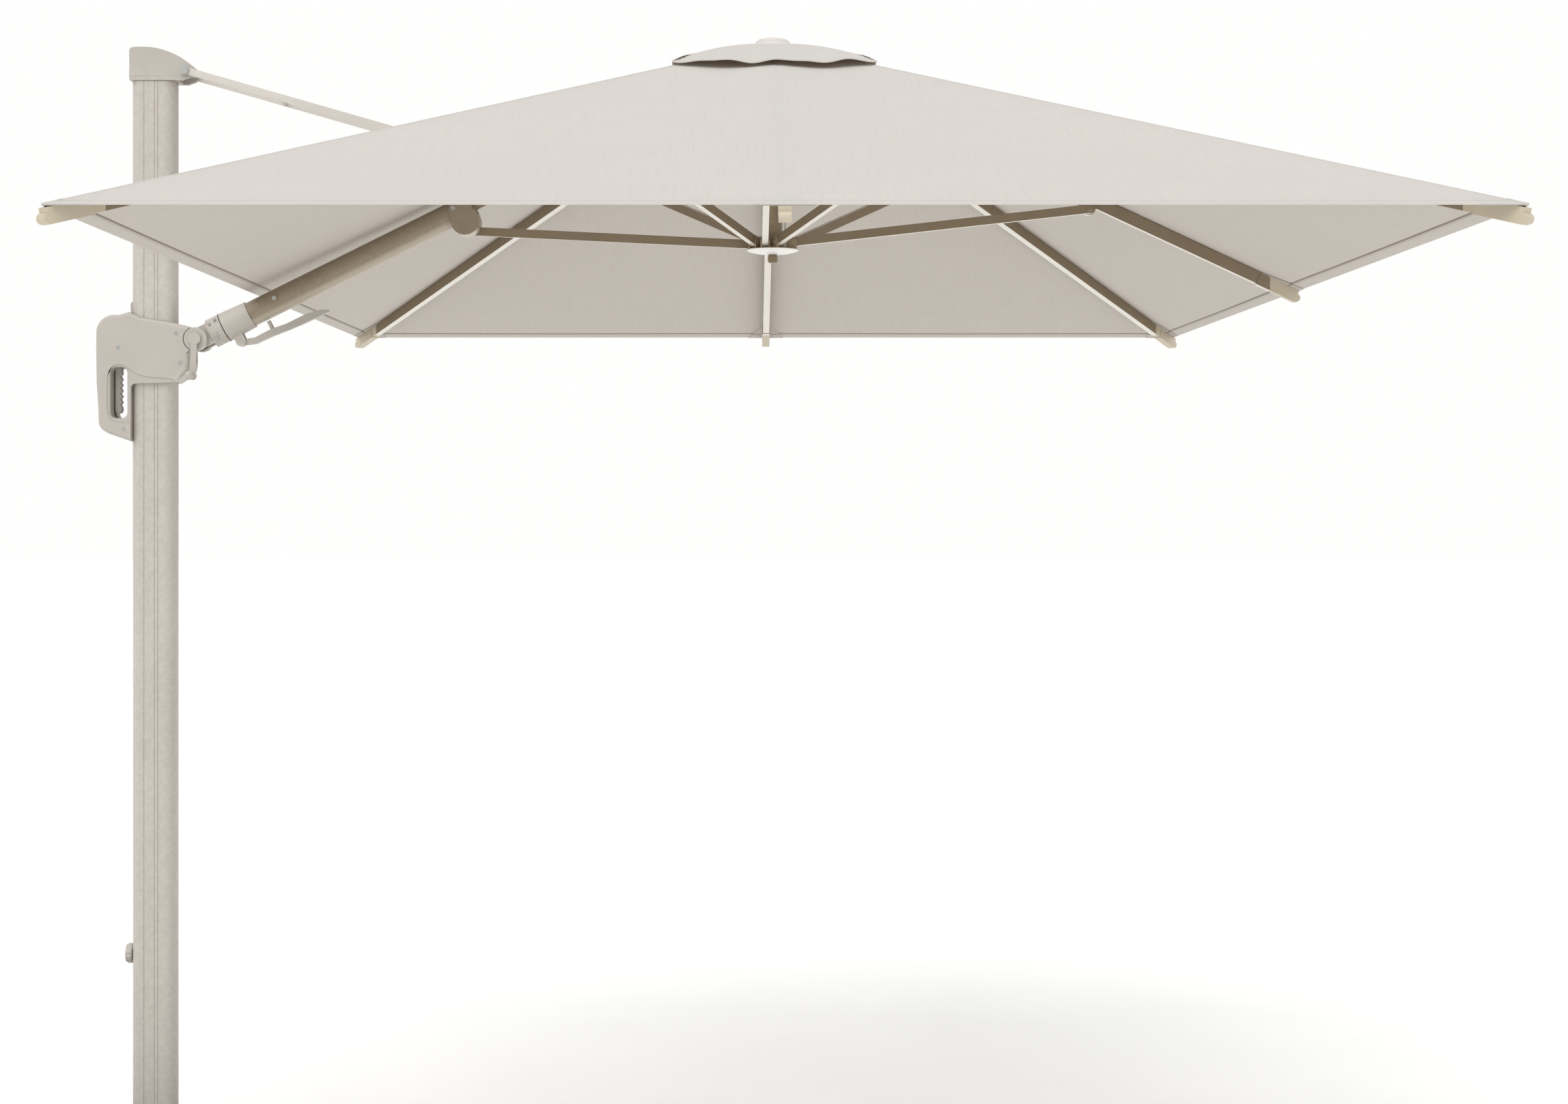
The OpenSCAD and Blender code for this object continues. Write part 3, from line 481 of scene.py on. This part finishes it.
def winds_down(grid):
    """Whether the grid's faces, taken in order, look down."""
    first, across, along = grid[0][0], grid[0][-1], grid[-1][0]
    one = Vector((across.x - first.x, across.y - first.y, 0))
    two = Vector((along.x - first.x, along.y - first.y, 0))
    return one.cross(two).z < 0


def add_object(name, data):
    o = bpy.data.objects.new(name, data)
    bpy.context.scene.collection.objects.link(o)
    return o


def make_piece(name, patches):
    """Weld patches, each a grid of Points and a test for holes, into one closed solid."""
    number, vertices, faces, corners = {}, [], [], []
    border = {}     # open edges of the top: (from, to) -> the two below and their Points

    def vertex(point, z, level):
        key = (round(point.x, 6), round(point.y, 6), level)
        if key not in number:
            number[key] = len(vertices)
            vertices.append((point.x, point.y, z))
        return number[key]

    for grid, is_hole in patches:
        flip = winds_down(grid)
        for i in range(len(grid) - 1):
            for j in range(len(grid[0]) - 1):
                if is_hole and is_hole(i, j):
                    continue
                cell = [grid[i][j], grid[i][j + 1], grid[i + 1][j + 1], grid[i + 1][j]]
                if flip:
                    cell = cell[::-1]
                top = [vertex(p, p.z + p.up, "top") for p in cell]
                bottom = [vertex(p, p.z - p.down, "bottom") for p in cell]
                if len(set(top)) < 4:
                    continue
                faces += [top, bottom[::-1]]
                corners += cell + cell[::-1]
                for a in range(4):
                    b = (a + 1) % 4
                    if (top[b], top[a]) in border:
                        del border[(top[b], top[a])]
                    else:
                        border[(top[a], top[b])] = (bottom[a], bottom[b], cell[a], cell[b])
    for (top_a, top_b), (bottom_a, bottom_b, a, b) in border.items():
        faces.append([top_b, top_a, bottom_a, bottom_b])
        corners += [b, a, a, b]

    mesh = bpy.data.meshes.new(name)
    mesh.from_pydata(vertices, [], faces)
    uv = np.array([(p.u, p.v) for p in corners], np.float32)
    mesh.uv_layers.new(name="UVMap").data.foreach_set("uv", uv.ravel())
    seam = mesh.attributes.new("seam", "FLOAT", "CORNER")
    seam.data.foreach_set("value", np.array([p.seam for p in corners], np.float32))
    mesh.validate(clean_customdata=False)
    mesh.update()
    return add_object(name, mesh)


def panel_stations(run, extra):
    """Values of m down the panel; run is its sloping length from apex to hem."""
    stations = [OPENING, 0.103, OPENING_HEM, *np.linspace(0.118, 0.93, 46), 0.95, 0.968]
    from_hem = (HEM + 0.0015, HEM, HEM - 0.003, HEM - 0.005, 0.010, 0.004, 0.0012)
    stations += [1 - distance / run for distance in from_hem] + [1.0, *extra]
    return sorted(set(round(m, 6) for m in stations))


def panel_columns(width, fixed):
    """Distances from the rib; the fixed ones are squeezed where the panel is narrow."""
    squeezed = [min(d, width * 0.9 * (i + 1) / (len(fixed) + 1)) if d > width * 0.8 else d
                for i, d in enumerate(fixed)]
    last = squeezed[-1]
    return squeezed + [last + (width - last) * (k + 1) / PANEL_COLUMNS
                       for k in range(PANEL_COLUMNS)]


def petal(rib, side):
    """Main cloth from a rib to midway to its neighbours, from the opening out to the hem."""
    left = rib == "left"
    ends = [SLIT[0] - SLIT_HEM, *SLIT, SLIT[1] + SLIT_HEM] if left else []
    fixed = RIB_COLUMNS + (SLIT_COLUMNS if left else [])
    patches = []
    for other in neighbours(rib, side):
        end, middle, along_x = half_panel(rib, other)
        width = np.linalg.norm(middle - end)
        across = (middle - end) / width
        run = math.hypot(HALF_Y if along_x else HALF_X, RISE)
        stations = panel_stations(run, ends)
        grid = []
        for m in stations:
            row = []
            for d in panel_columns(width * m, fixed):
                x, y = m * end + across * d
                v = (1 - m) * run
                hem = HEM_EXTRA if v < HEM + 0.0002 or m < OPENING_HEM + 0.0001 else 0.0
                seam = SEAM_EXTRA if d < SEAM_REACH and is_corner(rib) else 0.0
                stitch = min(abs(v - HEM_STITCH), abs(d - SEAM_STITCH) if is_corner(rib) else 1.0)
                if (left and ends[0] - SLIT_SLACK <= m <= ends[-1] + SLIT_SLACK
                        and d <= SLIT_COLUMNS[1] + SLIT_SLACK):
                    hem = HEM_EXTRA
                    stitch = min(stitch, 0.02)
                half = CLOTH / 2 + hem / 2
                z = surface(x, y, d / (width * m)) - DROP
                row.append(Point(CENTRE_X + x, y, z, half + seam, half + seam * 0.6,
                                 x if along_x else y, v, stitch))
            grid.append(row)

        def in_slit(i, j, stations=stations):
            mid = (stations[i] + stations[i + 1]) / 2
            return SLIT[0] < mid < SLIT[1] and j < len(RIB_COLUMNS)

        patches.append((grid, in_slit if left else None))
    return make_piece("canopy_" + rib + side, patches)


VENT_HEM = 0.955                # m where the vent's hem starts
VENT_HEM_EXTRA = 0.0009
VENT_STATIONS = [0.03, 0.06, 0.1, 0.16, *np.linspace(0.2, 0.93, 14),
                 VENT_HEM, 0.96, 0.975, 0.99, 1.0]
VENT_COLUMNS = 15


def vent_wave(m, along):
    """The gentle wave of the vent's edge: two sines, fading in towards the hem."""
    fade = max(0.0, min(1.0, (m - 0.72) / 0.28))
    fade = fade * fade * (3 - 2 * fade)
    long_wave = math.sin(along * math.tau / 0.155 + 0.6)
    short_wave = math.sin(along * math.tau / 0.089 + 2.0)
    return 0.0034 * (long_wave + 0.5 * short_wave) * fade


def vent_petal(rib, side):
    """The small upper canopy, which stands clear of the main one."""
    patches = []
    for other in neighbours(rib, side):
        end, middle, along_x = half_panel(rib, other, VENT_HALF_X, VENT_HALF_Y)
        length = np.linalg.norm(middle)
        grid = []
        for m in VENT_STATIONS:
            row = []
            for k in range(VENT_COLUMNS):
                t = k / (VENT_COLUMNS - 1)
                x, y = m * (end + (middle - end) * t)
                z = VENT_LO.z - 0.001 + (VENT_HI.z - VENT_LO.z - 0.0002) * (1 - m ** 1.5)
                u = x if along_x else y
                v = (1 - m) * length
                half = CLOTH / 2 + (VENT_HEM_EXTRA if m >= VENT_HEM else 0.0) / 2
                from_rib = np.linalg.norm((middle - end) * t * m)
                stitch = min(abs(v - 0.011), abs(from_rib - 0.005) if is_corner(rib) else 1.0)
                row.append(Point(CENTRE_X + x, y, z + vent_wave(m, u), half, half, u, v, stitch))
            grid.append(row)
        patches.append((grid, None))
    return make_piece("vent_" + rib + side, patches)


POCKET_STEPS = 6
POCKET_DROP = 0.0026            # below the main cloth


def pocket(rib):
    """A tapering patch sewn under the cloth at a rib's end, wider at a corner."""
    reach, depth = (0.085, 0.115) if is_corner(rib) else (0.055, 0.120)
    patches = []
    for other in neighbours(rib):
        end, middle, along_x = half_panel(rib, other)
        width = np.linalg.norm(middle - end)
        across = (middle - end) / width
        face = HALF_Y if along_x else HALF_X
        run = math.hypot(face, RISE)
        grid = []
        for i in range(POCKET_STEPS + 1):
            v = 0.0015 + i / POCKET_STEPS * depth
            m = 1 - v / run
            row_reach = reach * (1 - i / POCKET_STEPS * 0.93)
            row = []
            for j in range(POCKET_STEPS + 1):
                d = row_reach * j / POCKET_STEPS
                x, y = m * end + across * d
                z = surface(x, y, d / (width * m)) - DROP - POCKET_DROP
                row.append(Point(CENTRE_X + x, y, z, up=0.0004, down=0.0006,
                                 u=x if face == HALF_Y else y, v=v,
                                 seam=min(abs(d - row_reach + 0.006), 0.05)))
            grid.append(row)
        patches.append((grid, None))
    return make_piece("pocket_" + rib, patches)


def hang(cloth, rib):
    """Give a piece its material and let it ride on its rib."""
    cloth.data.materials.append(MATERIALS["fabric"].material)
    for polygon in cloth.data.polygons:
        polygon.use_smooth = False
    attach(cloth, BODY[rib])


def fold(cloth, rib, side, keep, share=(1.0, 1.0), rise=RISE, foot=RIM_Z):
    """Give the piece its own copy of its mesh.

    share is the piece's size in x and y against the main canopy; it is not used.
    """
    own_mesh(cloth)


VENT_SHARE = (VENT_HALF_X / HALF_X, VENT_HALF_Y / HALF_Y)
for rib in ORDER:
    for side in ("_a", "_b") if is_corner(rib) else ("",):
        cloth = petal(rib, side)
        hang(cloth, rib)
        fold(cloth, rib, side, keep=0.17)
        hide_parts("canopy_fabric")

        cloth = vent_petal(rib, side)
        hang(cloth, rib)
        fold(cloth, rib, side, 0.2, VENT_SHARE, rise=VENT_HI.z - VENT_LO.z, foot=VENT_LO.z)
        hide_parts("vent_canopy")
    if rib != "left":
        cloth = pocket(rib)
        hang(cloth, rib)


# ------------------------------------------------------------------ floor, light, camera
def make_floor():
    mesh = bpy.data.meshes.new("floor")
    bm = bmesh.new()
    outline = ((-40, -40, 0), (40, -40, 0), (40, 60, 0), (-40, 60, 0))
    bm.faces.new([bm.verts.new(place) for place in outline])
    bm.to_mesh(mesh)
    bm.free()
    floor = add_object("floor", mesh)
    m = Material("floor_pale")
    mottle = m.noise(m.coords(), scale=3.0)
    m.set(Base_Color=m.mix(mottle, srgb(236, 236, 234), srgb(242, 242, 240)), Roughness=0.9,
          Specular_IOR_Level=0.1, Emission_Color=(1, 1, 1, 1), Emission_Strength=0.10)
    floor.data.materials.append(m.material)


def make_world():
    """White behind the parasol, softer as a light."""
    world = bpy.data.worlds.new("studio")
    bpy.context.scene.world = world
    world.use_nodes = True
    tree = world.node_tree
    background = tree.nodes["Background"]
    background.inputs[0].default_value = (1.0, 0.997, 0.992, 1)
    path = tree.nodes.new("ShaderNodeLightPath")
    strength = tree.nodes.new("ShaderNodeMapRange")
    strength.inputs["To Min"].default_value = 0.72
    strength.inputs["To Max"].default_value = 1.0
    tree.links.new(path.outputs["Is Camera Ray"], strength.inputs["Value"])
    tree.links.new(strength.outputs["Result"], background.inputs[1])


def make_sun(towards, energy, angle):
    """A very wide, soft sun, angle in degrees. towards is the way its light travels."""
    light = bpy.data.lights.new("softlight", "SUN")
    light.energy = energy
    light.angle = math.radians(angle)
    sun = add_object("softlight", light)
    sun.rotation_euler = Vector(towards).to_track_quat("-Z", "Y").to_euler()


def make_camera():
    """Looks level along +y; the shifts frame the parasol without tilting."""
    data = bpy.data.cameras.new("camera")
    data.sensor_width = 36.0
    data.lens = 55.6
    data.shift_x = 0.0266
    data.shift_y = -0.0344
    data.clip_end = 200
    camera = add_object("camera", data)
    camera.location = (1.4483, -5.9805, 1.7155)
    camera.rotation_euler = (math.pi / 2, 0, 0)
    bpy.context.scene.camera = camera


make_floor()
make_world()
make_sun(towards=(0.35, 0.75, -1.0), energy=1.55, angle=60)
make_sun(towards=(-0.8, 0.3, -0.5), energy=0.36, angle=70)
make_sun(towards=(0.1, -0.4, -1.0), energy=0.35, angle=70)
make_camera()
bpy.context.scene.view_settings.view_transform = "Standard"
